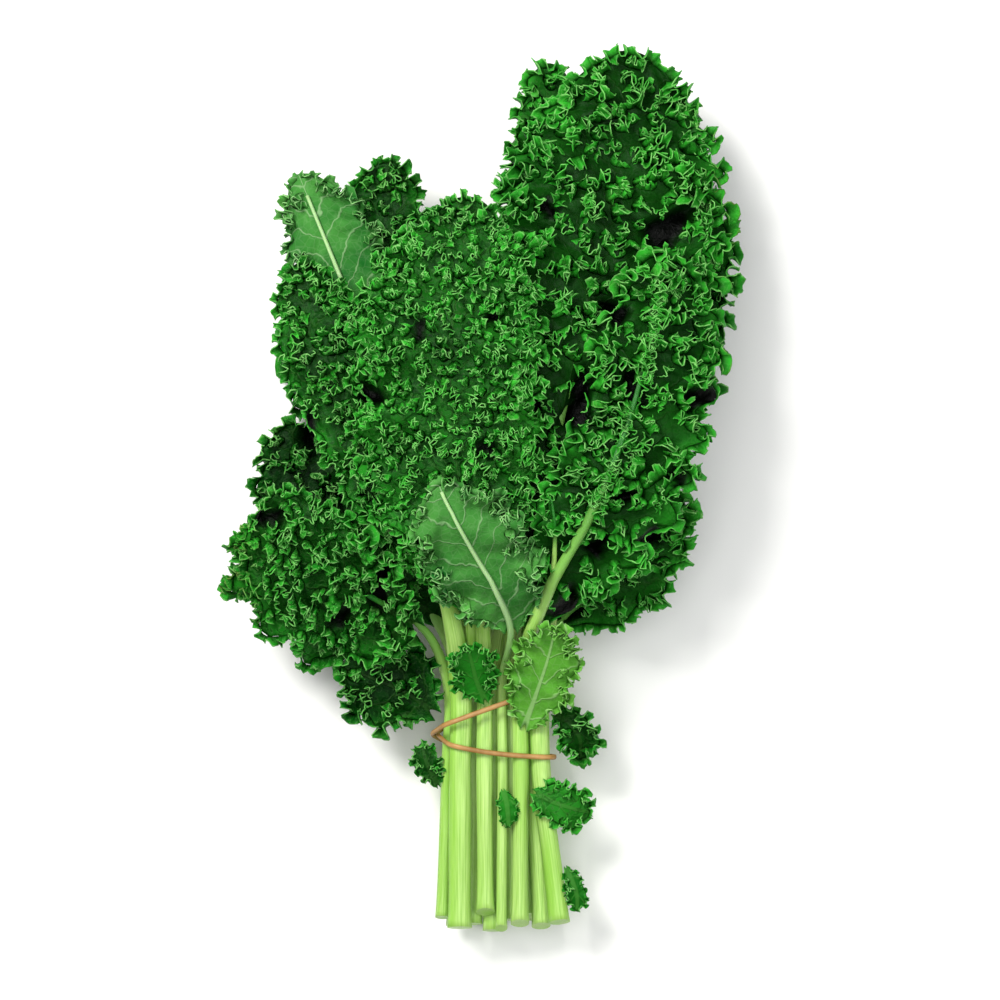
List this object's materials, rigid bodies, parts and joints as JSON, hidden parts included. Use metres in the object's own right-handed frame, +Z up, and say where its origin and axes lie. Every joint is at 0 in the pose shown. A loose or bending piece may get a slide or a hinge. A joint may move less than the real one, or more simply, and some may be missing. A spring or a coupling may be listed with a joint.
{
  "type": "bunch of curly kale",
  "caption": "Bunch of curly kale lying on its side: ruffled green leaves on pale stems, tied by a rubber band wound twice.",
  "frame": {"origin": "centre of the footprint, on the surface that the bunch lies on", "axes": "+Y from the cut ends to the leaf tips, +Z up off the surface, +X across the bunch"},
  "size_m": [0.2282, 0.3964, 0.1047],
  "materials": {
    "leaf_blade": "satin",
    "leaf_stem": "satin",
    "rubber_band": "satin"
  },
  "bodies": {
    "root": {"leaf_01_stem": "leaf_stem", "leaf_01_blade": "leaf_blade", "leaf_02_stem": "leaf_stem", "leaf_02_blade": "leaf_blade", "leaf_03_stem": "leaf_stem", "leaf_03_blade": "leaf_blade", "leaf_04_stem": "leaf_stem", "leaf_04_blade": "leaf_blade", "leaf_05_stem": "leaf_stem", "leaf_05_blade": "leaf_blade", "leaf_06_stem": "leaf_stem", "leaf_06_blade": "leaf_blade", "leaf_07_stem": "leaf_stem", "leaf_07_blade": "leaf_blade", "leaf_08_stem": "leaf_stem", "leaf_08_blade": "leaf_blade", "leaf_09_stem": "leaf_stem", "leaf_09_blade": "leaf_blade", "leaf_10_stem": "leaf_stem", "leaf_10_blade": "leaf_blade", "leaf_11_stem": "leaf_stem", "leaf_11_blade": "leaf_blade", "leaf_12_stem": "leaf_stem", "leaf_12_blade": "leaf_blade", "leaf_13_stem": "leaf_stem", "leaf_13_blade": "leaf_blade", "leaf_14_stem": "leaf_stem", "leaf_14_blade": "leaf_blade", "leaf_15_stem": "leaf_stem", "leaf_15_blade": "leaf_blade", "leaf_16_stem": "leaf_stem", "leaf_16_blade": "leaf_blade", "leaf_17_stem": "leaf_stem", "leaf_17_blade": "leaf_blade", "leaflet_01": "leaf_blade", "leaflet_02": "leaf_blade", "leaflet_03": "leaf_blade", "leaflet_04": "leaf_blade", "leaflet_05": "leaf_blade", "leaflet_06": "leaf_blade", "leaflet_07": "leaf_blade", "leaflet_08": "leaf_blade", "rubber_band": "rubber_band"}
  },
  "joints": []
}
